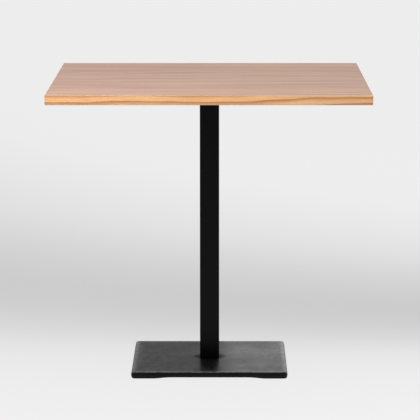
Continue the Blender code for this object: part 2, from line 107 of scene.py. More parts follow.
# Casting
PLATE_CORNER = 12 * MM
DRAFT = 1.2 * MM
TOP_ROUNDING = 4.5 * MM
BOTTOM_ROUNDING = 3 * MM
ARCH_RISE = 3 * MM
ARCH_LEAD = 0.3 * MM
RAMP_START = 50.5 * MM  # from the plate's side, where the arch starts to rise
RAMP_LENGTH = 50 * MM
SPIGOT_HEIGHT = 10 * MM
CASTING_WALL = 3 * MM
FLASH_WIDTH = 0.5 * MM  # half the height of the parting line's ridge
FLASH_DEPTH = 0.15 * MM
CAST_GRID = 8 * MM  # between points along the sides
FOOT_RECESS = 16.5 * MM
FOOT_RECESS_TOP = 5.3 * MM
STUD_HOLE = 4.3 * MM
NUT_RECESS = 19 * MM
ROD_HOLE = 5.5 * MM
RECESS_ROUNDING = 0.5 * MM
CUTTER_DROP = 4 * RECESS_ROUNDING  # how far below the casting a recess's cutter starts
CUTTER_FLARE = 5 * RECESS_ROUNDING
ARRIS_HIGHLIGHT_INSET = DRAFT + 0.8 * TOP_ROUNDING  # where the painted highlight on the arris is strongest
FOOT_SHADOW_RING = (0.042, 0.064)  # painted shadow round the column's foot, from full to none

# Column and locators
COLUMN_WALL = 2.5 * MM
COLUMN_OUTER_RADIUS = 3 * MM
COLUMN_INNER_RADIUS = 1 * MM
SAWN_EDGE = 0.3 * MM  # the broken edge of the tube's ends
LOCATOR_CORNER = 2 * MM
LOCATOR_CHAMFER = 1.2 * MM

# Mounting plate
SHEET_CORNER = 15 * MM
SHEET_EDGE = 0.4 * MM
SCREW_HOLE = 3.5 * MM

# Fixings
THREAD_DEPTH = 0.6134  # of a thread's pitch
THREAD_SECTION = ((0, 0), (0.25, 0), (0.5625, 1), (0.6875, 1))  # share of the pitch, and rise
THREAD_FADE = 0.15  # how much of the ridge is there where it starts
M6_PITCH = 1.0 * MM
M8_PITCH = 1.25 * MM
M10_PITCH = 1.5 * MM
ROD_THREAD_TURNS = 33
NUT_ACROSS_FLATS = 17 * MM
NUT_FACE = 0.475  # the flat round face's radius as a share of the size across flats
NUT_CHAMFER = math.radians(30)
KEY_ACROSS_FLATS = 4 * MM
EASE = 0.3 * MM  # small edges on turned parts
SCREWS = 8
SCREW_KEY_DEPTH = 2 * MM
SCREW_THREAD = 3 * MM
STUD_KEY_DEPTH = 1.4 * MM
STUD_THREAD = 4 * MM
CORNERS = ("front_left", "front_right", "back_left", "back_right")
SIDES = ("front", "right", "back", "left")

# Stage, lights and camera
STAGE_RADIUS = 22
# painted shade: the floor's tone by the distance behind the table, darker in a band behind it
FLOOR_TONES_WITH_PAINTED_SHADE = (
    (-5.00, 0.52),
    (-3.40, 0.54),
    (-2.30, 0.76),
    (-1.40, 0.90),
    (-0.60, 0.895),
    (-0.20, 0.865),
    (0.10, 0.825),
    (0.34, 0.72),
    (0.62, 0.620),
    (0.95, 0.602),
    (1.25, 0.635),
    (1.62, 0.690),
    (2.05, 0.765),
    (2.60, 0.810),
    (3.40, 0.865),
    (5.00, 0.870),
)
FLOOR_SKEW = 0.33  # how much nearer the painted shade band comes towards the right
FLOOR_DIFFUSE = 0.06
FLOOR_GLOW = 0.94
WORLD_STRENGTH = 0.6
WORLD_LOW = 0.45  # of the strength, at the horizon and below it
WORLD_RISE = 0.4  # sine of the height where it has its full strength
CAMERA_LENS = 225.9
CAMERA_PLACE = (0.0311, -6.7747, 1.4603)
CAMERA_PITCH = -0.15440
CAMERA_ROLL = 0.00044
CAMERA_TURN = 0.00435

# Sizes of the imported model
edge_low, edge_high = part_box("front_lipping")
HALF_TOP = -edge_low.y
LIPPING = edge_high.y - edge_low.y
UNDERSIDE = edge_low.z
TOP_Z = edge_high.z
THICKNESS = TOP_Z - UNDERSIDE
base_low, base_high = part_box("base_plate")
BASE_HALF = base_high.x
PLATE_TOP = base_high.z - SPIGOT_HEIGHT
RECESS_TOP = PLATE_TOP - CASTING_WALL
CAST_SIDE_STEPS = round(2 * BASE_HALF / CAST_GRID)


# ---------------------------------------------------------------- meshes


def at_angle(radius, angle, z, centre):
    return (centre[0] + radius * math.cos(angle), centre[1] + radius * math.sin(angle), z)


def circle(radius, z, centre=(0, 0), steps=ROUND_STEPS):
    return [at_angle(radius, math.tau * step / steps, z, centre) for step in range(steps)]


def hexagon(across_flats, z, centre=(0, 0), steps=ROUND_STEPS, limit=math.inf):
    """A hexagonal ring with its corners cut back to the limit's radius."""
    sixth = math.tau / 6
    points = []
    for step in range(steps):
        angle = math.tau * step / steps
        from_flat = (angle + sixth / 2) % sixth - sixth / 2
        radius = min(across_flats / 2 / math.cos(from_flat), limit)
        points.append(at_angle(radius, angle, z, centre))
    return points


def rounded_square(half, radius, side_steps=1, corner_steps=CORNER_STEPS):
    """Outline points, anticlockwise from the right side's upper end."""
    corners = []
    for quarter, (across, along) in enumerate(((1, 1), (-1, 1), (-1, -1), (1, -1))):
        corner = []
        for step in range(corner_steps + 1):
            angle = (quarter + step / corner_steps) * math.tau / 4
            x = across * (half - radius) + radius * math.cos(angle)
            y = along * (half - radius) + radius * math.sin(angle)
            corner.append((x, y))
        corners.append(corner)
    points = []
    for corner, following in zip(corners, corners[1:] + corners[:1]):
        points += corner
        for step in range(1, side_steps):
            share = step / side_steps
            x = corner[-1][0] * (1 - share) + following[0][0] * share
            y = corner[-1][1] * (1 - share) + following[0][1] * share
            points.append((x, y))
    return points


def at_height(outline, z):
    return [(x, y, z) for x, y in outline]


def arc_shares(steps):
    """Sines and cosines over a quarter turn, both ends included."""
    angles = [math.tau / 4 * step / steps for step in range(steps + 1)]
    return [(math.sin(angle), math.cos(angle)) for angle in angles]


class Skin:
    """One closed skin built ring by ring. All rings have the same number of points."""

    def __init__(self):
        self.work = bmesh.new()
        self.first = None
        self.last = None

    def face(self, *corners):
        self.work.faces.new(corners)

    def bridge(self, lower, upper):
        next_lower = lower[1:] + lower[:1]
        next_upper = upper[1:] + upper[:1]
        for here, there, above, over in zip(lower, next_lower, next_upper, upper):
            self.face(here, there, above, over)

    def ring(self, points):
        made = [self.work.verts.new(point) for point in points]
        if self.last:
            self.bridge(self.last, made)
        else:
            self.first = made
        self.last = made

    def rings(self, *many):
        for points in many:
            self.ring(points)

    def cap(self):
        self.face(*reversed(self.first))
        self.face(*self.last)

    def close(self):
        self.bridge(self.last, self.first)

    def thread(self, radius, pitch, bottom, turns, above, centre=(0, 0)):
        """A helical ridge that starts from the last ring and ends at the ring above."""
        steps = len(self.last)
        total = steps * turns
        depth = THREAD_DEPTH * pitch
        rows = []
        for step in range(total + 1):
            angle = math.tau * step / steps
            rise = depth * max(THREAD_FADE, min(1, 2 * min(step, total - step) / steps))
            row = []
            for share, lift in THREAD_SECTION:
                reach = radius - depth + rise * lift
                z = bottom + pitch * (step / steps + share)
                row.append(self.work.verts.new(at_angle(reach, angle, z, centre)))
            rows.append(row)
        for step in range(total):
            here, there = rows[step], rows[step + 1]
            for place in range(len(THREAD_SECTION) - 1):
                self.face(here[place], there[place], there[place + 1], here[place + 1])
            if step + steps < total:
                self.face(here[-1], there[-1], rows[step + 1 + steps][0], rows[step + steps][0])
        below = self.last
        last_turn = total - steps
        over = [self.work.verts.new(point) for point in above]
        for step in range(steps):
            after = (step + 1) % steps
            self.face(below[step], below[after], rows[step + 1][0], rows[step][0])
            ridge = rows[last_turn + step : last_turn + step + 2]
            self.face(ridge[0][-1], ridge[1][-1], over[after], over[step])
        self.face(below[0], *rows[0], rows[steps][0])
        self.face(over[0], *reversed(rows[total]), rows[last_turn][-1])
        self.last = over


def add_piece(node, work, look, smooth_below=38):
    """Turns a bmesh into the piece that stands for a CAD node and rides on its body. Edges of fewer
    degrees than smooth_below are shaded smooth."""
    name = node + "_fine"
    bmesh.ops.recalc_face_normals(work, faces=work.faces)
    mesh = bpy.data.meshes.new(name)
    work.to_mesh(mesh)
    work.free()
    mesh.shade_smooth()
    mesh.set_sharp_from_angle(angle=math.radians(smooth_below))
    piece = bpy.data.objects.new(name, mesh)
    bpy.context.scene.collection.objects.link(piece)
    mesh.materials.append(look["material"])
    shading = piece.modifiers.new("flat_faces_stay_flat", "WEIGHTED_NORMAL")
    shading.keep_sharp = True
    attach(piece, frame["nodes"][node]["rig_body"])
    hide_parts(node)
    return piece


def middle_of(node):
    low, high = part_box(node)
    return ((low.x + high.x) / 2, (low.y + high.y) / 2)


# ---------------------------------------------------------------- materials


class Look:
    """A Principled material whose nodes read the object's own coordinates, in metres."""

    def __init__(self, name, **settings):
        self.material = bpy.data.materials.new(name)
        self.material.use_nodes = True
        self.tree = self.material.node_tree
        self.shader = self.tree.nodes["Principled BSDF"]
        self.place = self.node("TexCoord").outputs["Object"]
        for socket, value in settings.items():
            self.shader.inputs[socket.replace("_", " ")].default_value = value

    def node(self, kind, inputs=None, **settings):
        made = self.tree.nodes.new("ShaderNode" + kind)
        for key, value in settings.items():
            setattr(made, key, value)
        for key, value in (inputs or {}).items():
            self.feed(made.inputs[key], value)
        return made

    def feed(self, socket, value):
        if isinstance(value, bpy.types.NodeSocket):
            self.tree.links.new(value, socket)
        else:
            socket.default_value = value

    def scaled(self, scale, shift=0, vector=None):
        inputs = {"Vector": vector or self.place, "Scale": scale, "Location": (shift,) * 3}
        return self.node("Mapping", inputs).outputs["Vector"]

    def noise(self, scale, detail=3, roughness=0.5, shift=0, vector=None):
        """Noise of 0 to 1, with so many waves to the metre along each axis."""
        where = self.scaled(scale, shift, vector)
        inputs = {"Vector": where, "Scale": 1, "Detail": detail, "Roughness": roughness}
        return self.node("TexNoise", inputs).outputs["Fac"]

    def cells(self, scale, output="Distance", feature="F1"):
        inputs = {"Vector": self.scaled(scale), "Scale": 1}
        return self.node("TexVoronoi", inputs, feature=feature).outputs[output]

    def distance(self, scale):
        """The distance from the object's origin, with each axis scaled."""
        return self.node("VectorMath", {0: self.scaled(scale)}, operation="LENGTH").outputs["Value"]

    def maths(self, operation, first, second=0.0, third=0.0):
        made = self.node("Math", operation=operation)
        for socket, value in zip(made.inputs, (first, second, third)):
            self.feed(socket, value)
        return made.outputs["Value"]

    def span(self, value, low, high, to_low=0.0, to_high=1.0):
        """The value's place between low and high, smoothly, turned into another range."""
        inputs = {"Value": value, "From Min": low, "From Max": high}
        inputs.update({"To Min": to_low, "To Max": to_high})
        return self.node("MapRange", inputs, interpolation_type="SMOOTHSTEP").outputs["Result"]

    def blend(self, share, first, second, blend_type="MIX"):
        made = self.node("Mix", data_type="RGBA", blend_type=blend_type)
        self.feed(made.inputs[0], share)
        self.feed(made.inputs[6], colour(first))
        self.feed(made.inputs[7], colour(second))
        return made.outputs[2]

    def axis(self, letter):
        return self.node("SeparateXYZ", {"Vector": self.place}).outputs[letter]

    def bumps(self, *layers):
        """Layers of (height, depth in metres), one on the other."""
        normal = None
        for height, depth in layers:
            inputs = {"Height": height, "Distance": depth}
            if normal:
                inputs["Normal"] = normal
            normal = self.node("Bump", inputs).outputs["Normal"]
        self.feed(self.shader.inputs["Normal"], normal)

    def done(self, slot, base=None, roughness=None, metallic=None):
        """Feeds the shader, and gives the material with the record's slot that it is for."""
        values = {"Base Color": base, "Roughness": roughness, "Metallic": metallic}
        for socket, value in values.items():
            if value is not None:
                self.feed(self.shader.inputs[socket], value)
        return {"material": self.material, "slot": slot}


def colour(value):
    """An RGB triple with its alpha, or a socket as it is."""
    return (*value, 1) if isinstance(value, tuple) else value


def swapped(along, triple):
    """A scale given for grain along X, for grain along that axis."""
    return triple if along == "X" else (triple[1], triple[0], triple[2])


def oak_face(name, slot, pale, dark, roughness):
    """Rift-cut veneer: straight streaks along X, open pores and a satin lacquer."""
    look = Look(name, Coat_Weight=0.25, Coat_Roughness=0.28, Specular_IOR_Level=0.5)
    sway = look.noise((1.3, 3, 1), 2, 0.5, 3)
    bent = look.node("CombineXYZ", {"Y": look.maths("MULTIPLY", sway, 0.03)}).outputs["Vector"]
    grain = look.node("VectorMath", {0: look.place, 1: bent}, operation="ADD").outputs["Vector"]
    leaves = look.noise((0.7, 10, 1), 2, 0.5, 5, grain)
    bands = look.noise((2.2, 34, 1), 4, 0.7, 8, grain)
    streaks = look.noise((5, 170, 1), 4, 0.7, 0, grain)
    threads = look.noise((30, 1500, 1), 2, 0.6, 2, grain)
    pores = look.noise((110, 2300, 1), 2, 0.5, 6, grain)
    flecks = look.noise((75, 210, 1), 1, 0.4, 9, grain)
    tone = look.span(bands, 0.36, 0.64, 0, 0.46)
    tone = look.maths("ADD", tone, look.span(streaks, 0.36, 0.64, 0, 0.38))
    tone = look.maths("ADD", tone, look.span(threads, 0.3, 0.7, -0.05, 0.15))
    wood = look.blend(tone, dark, pale)
    hue = look.blend(look.span(leaves, 0.38, 0.62), (1.0, 1.015, 0.93), (0.985, 0.97, 1.04))
    wood = look.blend(1.0, wood, hue, "MULTIPLY")
    wood = look.blend(look.span(flecks, 0.66, 0.8, 0, 0.3), wood, (0.5, 0.32, 0.2))
    wood = look.blend(look.span(pores, 0.6, 0.72, 0, 0.5), wood, tuple(0.45 * part for part in dark))
    shine = look.span(streaks, 0.2, 0.8, roughness + 0.05, roughness - 0.05)
    look.bumps((streaks, 0.06 * MM), (look.span(pores, 0.58, 0.75, 1, 0), 0.05 * MM))
    return look.done(slot, wood, shine)


def oak_edge(name, along):
    """Solid oak with long growth lines that wander along the strip and climb at one end."""
    look = Look(name, Coat_Weight=0.25, Coat_Roughness=0.3, Specular_IOR_Level=0.5)
    across = "Y" if along == "X" else "X"
    height = look.maths("DIVIDE", look.maths("SUBTRACT", look.axis("Z"), UNDERSIDE), THICKNESS)
    drift = look.noise(swapped(along, (1.6, 1, 1)), 1, 0.5, 1.7)
    wander = look.noise(swapped(along, (5.5, 1, 22)), 2, 0.5, 4)
    waves = look.noise(swapped(along, (12, 4, 90)), 3, 0.55, 7)
    climb = look.span(look.axis(along), -0.05, 0.38, -0.12, -1.4)
    rings = look.maths("MULTIPLY_ADD", height, RINGS_ACROSS, climb)
    rings = look.maths("MULTIPLY_ADD", drift, 0.7, rings)
    unrest = look.span(look.axis(along), -0.1, 0.3, 0.3, 1.1)
    rings = look.maths("MULTIPLY_ADD", waves, 0.35, rings)
    rings = look.maths("MULTIPLY_ADD", wander, unrest, rings)
    rings = look.maths("MULTIPLY_ADD", look.axis(across), 30.0, rings)
    within = look.maths("FRACT", rings)
    late = look.maths("MULTIPLY", look.span(within, 0.35, 0.9), look.span(within, 0.9, 1.0, 1, 0))
    fibres = look.noise(swapped(along, (11, 200, 230)), 4, 0.65, 3)
    threads = look.noise(swapped(along, (35, 900, 1500)), 2, 0.6, 5)
    pores = look.noise(swapped(along, (120, 2000, 2300)), 2, 0.5, 6)
    wood = look.blend(late, EDGE_PALE, EDGE_DARK)
    darker = look.span(fibres, 0.34, 0.68, 0, 0.75)
    wood = look.blend(darker, wood, (0.86, 0.79, 0.68), "MULTIPLY")
    wood = look.blend(look.span(threads, 0.4, 0.7, 0, 0.3), wood, (0.85, 0.8, 0.74), "MULTIPLY")
    wood = look.blend(look.span(pores, 0.58, 0.7, 0, 0.5), wood, PORE_DARK)
    upper = look.span(look.axis("Z"), TOP_Z - FLARE_START, TOP_Z - FLARE_END, 0, 0.9)
    wood = look.blend(upper, wood, FACE_MIDDLE)
    shine = look.span(fibres, 0.2, 0.8, 0.48, 0.38)
    look.bumps((fibres, 0.05 * MM), (look.span(pores, 0.56, 0.75, 1, 0), 0.05 * MM))
    return look.done("oak_edge", wood, shine)


def chipboard():
    """Raw board of pressed chips, each with its own shade."""
    look = Look("raw_chipboard", Specular_IOR_Level=0.3)
    chips = look.cells((260, 700, 500), "Color")
    shade = look.node("SeparateColor", {"Color": chips}).outputs["Red"]
    dust = look.noise((900, 900, 900), 3, 0.6)
    wood = look.blend(shade, (0.3, 0.19, 0.1), (0.58, 0.43, 0.26))
    wood = look.blend(look.span(dust, 0.35, 0.7, 0, 0.4), wood, (0.6, 0.5, 0.38), "MULTIPLY")
    look.bumps((look.cells((260, 700, 500)), 0.3 * MM), (dust, 0.1 * MM))
    return look.done("chipboard", wood, look.span(dust, 0.2, 0.8, 0.8, 0.95))


def powder_coat():
    """Satin black with the fine orange peel of baked powder."""
    look = Look("satin_black_powder", Specular_IOR_Level=0.11)
    peel = look.noise((420, 420, 420), 2, 0.5)
    grit = look.noise((2600, 2600, 2600), 2, 0.6, 4)
    cloud = look.noise((14, 14, 9), 3, 0.55, 2)
    nibs = look.noise((160, 160, 160), 1, 0.4, 7)
    deep, pale = (0.0014, 0.0014, 0.0016), (0.0024, 0.0024, 0.0025)
    black = look.blend(look.span(cloud, 0.3, 0.7), deep, pale)
    black = look.blend(look.span(grit, 0.55, 0.75, 0, 0.5), black, (0.004, 0.004, 0.0042))
    shine = look.span(cloud, 0.25, 0.75, 0.24, 0.3)
    shine = look.maths("ADD", shine, look.span(grit, 0.3, 0.7, -0.02, 0.04))
    look.bumps((peel, 0.04 * MM), (grit, 0.008 * MM), (look.span(nibs, 0.74, 0.82), 0.03 * MM))
    return look.done("powder_coat", black, shine)


def cast_coat():
    """Black coat over cast iron with a sandy skin. The left of the flat top is painted blotched and
    lighter towards its rim as painted reflection, the upper arris has a painted highlight, and a
    painted shadow, darker and duller, rings the tube's foot."""
    look = Look("black_coat_on_casting", Specular_IOR_Level=0.12)
    sand = look.noise((520, 520, 520), 3, 0.6)
    skin = look.noise((95, 75, 95), 3, 0.6, 3)
    blotch = look.noise((60, 28, 38), 3, 0.65, 11)
    cloud = look.noise((9, 9, 9), 4, 0.6, 5)
    pits = look.cells((340, 340, 340))

    # painted reflection: on the flat top, mostly on its left, and hardly any around the column's foot,
    # the coat is blotched, speckled, rougher and lighter towards its rim
    level = look.span(look.axis("Z"), PLATE_TOP - 1.2 * MM, PLATE_TOP - 0.2 * MM)
    side = look.maths("MULTIPLY_ADD", cloud, 0.08, look.axis("X"))
    left_painted_reflection = look.maths("MULTIPLY", look.span(side, 0.0, 0.09, 1, 0.25), level)
    left_painted_reflection = look.maths("MULTIPLY", left_painted_reflection, look.span(look.distance((1, 0.5, 0)), 0.03, 0.11, 0.1, 1))
    mottle = look.maths("MULTIPLY", left_painted_reflection, look.span(blotch, 0.4, 0.62))
    speckle = look.maths("MULTIPLY", left_painted_reflection, look.span(skin, 0.4, 0.7))
    x, y = (look.maths("ABSOLUTE", look.axis(letter)) for letter in "XY")
    outwards = look.maths("MULTIPLY_ADD", skin, 0.02, look.maths("MAXIMUM", x, y))
    # painted reflection: lighter colour towards the outer edge of the top's left half
    rim = look.maths("MULTIPLY", look.span(outwards, 0.175, 0.205), left_painted_reflection)

    # painted highlight along the upper arris, and a painted shadow round the column's foot
    arris_highlight = look.node("Attribute", attribute_name="arris_highlight").outputs["Fac"]
    painted_arris_highlight = look.maths("MULTIPLY", arris_highlight, look.span(skin, 0.3, 0.65, 0.35, 1))
    foot = look.maths("MULTIPLY_ADD", skin, 0.03, look.distance((1, 1, 0)))
    ring = look.span(foot, *FOOT_SHADOW_RING, 0.85, 0)

    deep, pale = (0.0045, 0.0044, 0.0046), (0.0075, 0.0073, 0.0076)
    black = look.blend(look.span(cloud, 0.3, 0.7), deep, pale)
    black = look.blend(look.span(sand, 0.55, 0.75, 0, 0.35), black, (0.008, 0.0078, 0.0078))
    # painted reflection: lighter blotches, speckles and rim on the left of the flat top
    black = look.blend(look.maths("MULTIPLY", mottle, 0.55), black, (0.06, 0.0535, 0.0595))
    black = look.blend(look.maths("MULTIPLY", speckle, 0.25), black, (0.03, 0.027, 0.029))
    black = look.blend(look.maths("MULTIPLY", rim, 0.9), black, (0.062, 0.06, 0.063))
    # painted highlight on the upper arris
    black = look.blend(painted_arris_highlight, black, (0.3, 0.298, 0.302))
    # painted shadow round the column's foot
    black = look.blend(ring, black, (0.0012, 0.0012, 0.0012))
    shine = look.span(cloud, 0.3, 0.7, 0.25, 0.33)
    shine = look.maths("ADD", shine, look.span(sand, 0.3, 0.7, -0.03, 0.05))
    shine = look.maths("MULTIPLY_ADD", painted_arris_highlight, -0.05, shine)
    shine = look.maths("MULTIPLY_ADD", mottle, 0.12, shine)
    shine = look.maths("MULTIPLY_ADD", ring, 0.35, shine)
    waves = look.maths("MULTIPLY", look.span(left_painted_reflection, 0.3, 1, 0.3, 1), skin)
    look.bumps((waves, 0.3 * MM), (sand, 0.045 * MM), (look.span(pits, 0.05, 0.3), 0.02 * MM))
    return look.done("cast_coat", black, shine)


def zinc_plate():
    """Bright plating with turning marks and a faint yellow stain."""
    look = Look("bright_zinc_plate")
    cloud = look.noise((180, 180, 120), 3, 0.55)
    lines = look.noise((120, 120, 6000), 2, 0.5, 3)
    stain = look.noise((60, 60, 60), 2, 0.5, 6)
    metal = look.blend(look.span(cloud, 0.3, 0.7), (0.47, 0.48, 0.5), (0.66, 0.67, 0.68))
    metal = look.blend(look.span(stain, 0.5, 0.75, 0, 0.45), metal, (0.6, 0.55, 0.42))
    shine = look.span(cloud, 0.3, 0.7, 0.24, 0.38)
    shine = look.maths("ADD", shine, look.span(lines, 0.3, 0.7, -0.04, 0.05))
    look.bumps((lines, 0.006 * MM), (cloud, 0.01 * MM))
    return look.done("zinc", metal, shine, look.span(stain, 0.2, 0.8, 1.0, 0.9))


def black_oxide():
    """Dark oxide over turned steel, thinner in places."""
    look = Look("black_oxide_steel", Specular_IOR_Level=0.45)
    cloud = look.noise((260, 260, 260), 3, 0.6)
    lines = look.noise((150, 150, 5000), 2, 0.5, 3)
    metal = look.blend(look.span(cloud, 0.35, 0.7), (0.018, 0.018, 0.02), (0.05, 0.048, 0.047))
    shine = look.span(cloud, 0.3, 0.7, 0.3, 0.45)
    shine = look.maths("ADD", shine, look.span(lines, 0.3, 0.7, -0.03, 0.05))
    look.bumps((lines, 0.008 * MM), (cloud, 0.012 * MM))
    return look.done("black_steel", metal, shine, look.span(cloud, 0.3, 0.7, 0.85, 0.6))


def moulded_nylon():
    """Spark-eroded black nylon with flow marks and scuffs."""
    look = Look("black_moulded_nylon", Specular_IOR_Level=0.4)
    spark = look.noise((1400, 1400, 1400), 2, 0.6)
    flow = look.noise((70, 70, 40), 3, 0.5, 4)
    scuff = look.noise((300, 40, 60), 3, 0.7, 8)
    black = look.blend(look.span(flow, 0.3, 0.7), (0.012, 0.012, 0.012), (0.022, 0.022, 0.022))
    black = look.blend(look.span(scuff, 0.62, 0.8, 0, 0.5), black, (0.06, 0.06, 0.058))
    shine = look.span(flow, 0.3, 0.7, 0.48, 0.58)
    shine = look.maths("ADD", shine, look.span(spark, 0.3, 0.7, -0.04, 0.05))
    look.bumps((spark, 0.02 * MM), (flow, 0.03 * MM))
    return look.done("nylon", black, shine)


# ---------------------------------------------------------------- tabletop



def lipping_section():
    """(depth out from the joint, height), anticlockwise seen along the strip."""
    inner = LACQUER_LINE
    outer = LIPPING
    points = [(inner, UNDERSIDE)]
    for sine, cosine in arc_shares(EDGE_STEPS):
        depth = outer - EASED_EDGE * (1 - sine)
        points.append((depth, UNDERSIDE + EASED_EDGE * (1 - cosine)))
    for sine, cosine in arc_shares(EDGE_STEPS):
        depth = outer - EASED_EDGE * (1 - cosine)
        points.append((depth, TOP_Z - EASED_EDGE * (1 - sine)))
    points.append((inner, TOP_Z))
    return points


def lipping_work(turn):
    """A strip along one side, mitred at both ends, with the upright corner slightly rounded."""
    joint = HALF_TOP - LIPPING
    start = HALF_TOP - FULL_SECTION
    arris = HALF_TOP - CORNER_EASING
    mitre_angle = math.tau / 8
    tip = arris + CORNER_EASING * math.sin(mitre_angle)
    reaches = [(start, HALF_TOP), (arris, HALF_TOP)]
    for step in range(1, EASE_STEPS + 1):
        angle = mitre_angle * step / EASE_STEPS
        reach = arris + CORNER_EASING * math.sin(angle)
        reaches.append((reach, arris + CORNER_EASING * math.cos(angle)))
    skin = Skin()
    half_sections = []
    for reach, outer in reaches:
        share = (reach - start) / (tip - start)
        section = []
        for depth, z in lipping_section():
            out = joint + depth * (outer - joint) / LIPPING
            mitre = joint + depth * (tip - joint) / LIPPING - LACQUER_LINE
            section.append((start + share * (mitre - start), out, z))
        half_sections.append(section)
    mirrored = [[(-x, out, z) for x, out, z in section] for section in reversed(half_sections)]
    cosine, sine = math.cos(turn), math.sin(turn)
    for section in mirrored + half_sections:
        skin.ring([(x * cosine + out * sine, x * sine - out * cosine, z) for x, out, z in section])
    skin.cap()
    return skin.work


def make_tabletop():
    face = oak_face("oak_veneer", "oak_face", FACE_PALE, FACE_DARK, FACE_ROUGHNESS)
    back = oak_face("oak_backing_veneer", "oak_back", BACK_PALE, BACK_DARK, BACK_ROUGHNESS)
    low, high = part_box("top_veneer")
    sheet = Skin()
    half = HALF_TOP - LIPPING - LACQUER_LINE
    broken = VENEER_EDGE / 2
    for inset, z in ((0, low.z), (0, TOP_Z - broken), (broken, TOP_Z)):
        outline = rounded_square(half - inset, VENEER_EDGE, side_steps=8, corner_steps=2)
        sheet.ring(at_height(outline, z))
    sheet.cap()
    add_piece("top_veneer", sheet.work, face)
    long_grain = oak_edge("oak_lipping_along_x", "X")
    cross_grain = oak_edge("oak_lipping_along_y", "Y")
    for quarter, side in enumerate(SIDES):
        strip = cross_grain if quarter % 2 else long_grain
        add_piece(side + "_lipping", lipping_work(quarter * math.tau / 4), strip)
    dress("bottom_veneer", back)
    dress("core_panel", chipboard())


def dress(node, look):
    """Gives its better material to a CAD node that stays."""
    slots = frame["nodes"][node].data.materials
    for index in range(len(slots)):
        slots[index] = look["material"]


# ---------------------------------------------------------------- casting


def underside(x, y):
    """The casting's underside: level at the corners, arched between them."""
    rise = 0
    for place in (abs(x), abs(y)):
        share = max(0, min(1, (BASE_HALF - RAMP_START - place) / RAMP_LENGTH))
        eased = share * share * (3 - 2 * share)
        rise = max(rise, (ARCH_RISE + ARCH_LEAD) * eased - ARCH_LEAD)
    return base_low.z + rise


def cast_outline(inset):
    corner = max(PLATE_CORNER - inset, RECESS_ROUNDING)
    return rounded_square(BASE_HALF - inset, corner, CAST_SIDE_STEPS)


def between(first, second, share, height):
    """A ring part of the way from one to the other, with its height from height(x, y)."""
    points = []
    for a, b in zip(first, second):
        x = a[0] * (1 - share) + b[0] * share
        y = a[1] * (1 - share) + b[1] * share
        points.append((x, y, height(x, y)))
    return points


def round_like(outline, radius):
    """A circle with its points in the outline's directions."""
    points = []
    for x, y in outline:
        scale = radius / math.hypot(x, y)
        points.append((x * scale, y * scale))
    return points


def flat_top(x, y):
    return PLATE_TOP


def crown_top(x, y):
    return base_high.z


def make_casting(look):
    skin = Skin()
    parting = (base_low.z + PLATE_TOP) / 2
    edge = cast_outline(0)

    # the underside, from the nut's recess out to the rim
    rim = cast_outline(DRAFT + BOTTOM_ROUNDING)
    recess = round_like(rim, NUT_RECESS + RECESS_ROUNDING)
    for step in range(UNDERSIDE_RINGS + 1):
        skin.ring(between(recess, rim, step / UNDERSIDE_RINGS, underside))
    for sine, cosine in arc_shares(RIM_STEPS)[1:]:
        outline = cast_outline(DRAFT + BOTTOM_ROUNDING * (1 - sine))
        lift = BOTTOM_ROUNDING * (1 - cosine)
        skin.ring([(x, y, underside(x, y) + lift) for x, y in outline])

    # up the leaning wall, over the flash of the parting line
    for share, inset in ((-1, 0), (-0.5, -FLASH_DEPTH), (0.5, -FLASH_DEPTH), (1, 0)):
        skin.ring(at_height(cast_outline(inset), parting + share * FLASH_WIDTH))

    # the upper rim and the flat top, in to the spigot
    for sine, cosine in arc_shares(RIM_STEPS):
        outline = cast_outline(DRAFT + TOP_ROUNDING * (1 - cosine))
        skin.ring(at_height(outline, PLATE_TOP - TOP_ROUNDING * (1 - sine)))
    top_rim = cast_outline(DRAFT + TOP_ROUNDING)
    spigot_low, spigot_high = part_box("upper_locator")
    spigot_half = (spigot_high.x - spigot_low.x) / 2
    spigot = rounded_square(spigot_half, LOCATOR_CORNER, CAST_SIDE_STEPS)
    for step in range(1, TOP_RINGS):
        skin.ring(between(top_rim, spigot, step / TOP_RINGS, flat_top))
    skin.ring(at_height(spigot, PLATE_TOP))
    skin.ring(at_height(spigot, base_high.z - LOCATOR_CHAMFER))
    crown_half = spigot_half - LOCATOR_CHAMFER
    crown = rounded_square(crown_half, LOCATOR_CORNER - LOCATOR_CHAMFER, CAST_SIDE_STEPS)
    skin.ring(at_height(crown, base_high.z))
    hole = round_like(edge, ROD_HOLE)
    mouth = round_like(edge, ROD_HOLE + RECESS_ROUNDING)
    for share in (0.35, 0.7):
        skin.ring(between(crown, mouth, share, crown_top))
    skin.ring(at_height(mouth, base_high.z))
    skin.ring(at_height(hole, base_high.z - RECESS_ROUNDING))

    # down the rod's hole and back to the underside
    skin.ring(at_height(hole, RECESS_TOP))
    wall = round_like(edge, NUT_RECESS)
    skin.ring(at_height(round_like(edge, NUT_RECESS - RECESS_ROUNDING), RECESS_TOP))
    skin.ring(at_height(wall, RECESS_TOP - RECESS_ROUNDING))
    skin.ring([(x, y, underside(x, y) + RECESS_ROUNDING) for x, y in wall])
    skin.close()
    piece = add_piece("base_plate", skin.work, look)

    cutter = foot_cutter()
    cut = piece.modifiers.new("foot_recesses", "BOOLEAN")
    cut.object = cutter
    cut.solver = "EXACT"
    while piece.modifiers[0] != cut:
        bpy.context.view_layer.objects.active = piece
        bpy.ops.object.modifier_move_up(modifier=cut.name)
    piece.modifiers[1].show_viewport = False
    graph = bpy.context.evaluated_depsgraph_get()
    piece.data = bpy.data.meshes.new_from_object(piece.evaluated_get(graph))
    piece.modifiers.remove(cut)
    piece.modifiers[0].show_viewport = True
    bpy.data.objects.remove(cutter)
    paint_arris_highlight(piece.data)


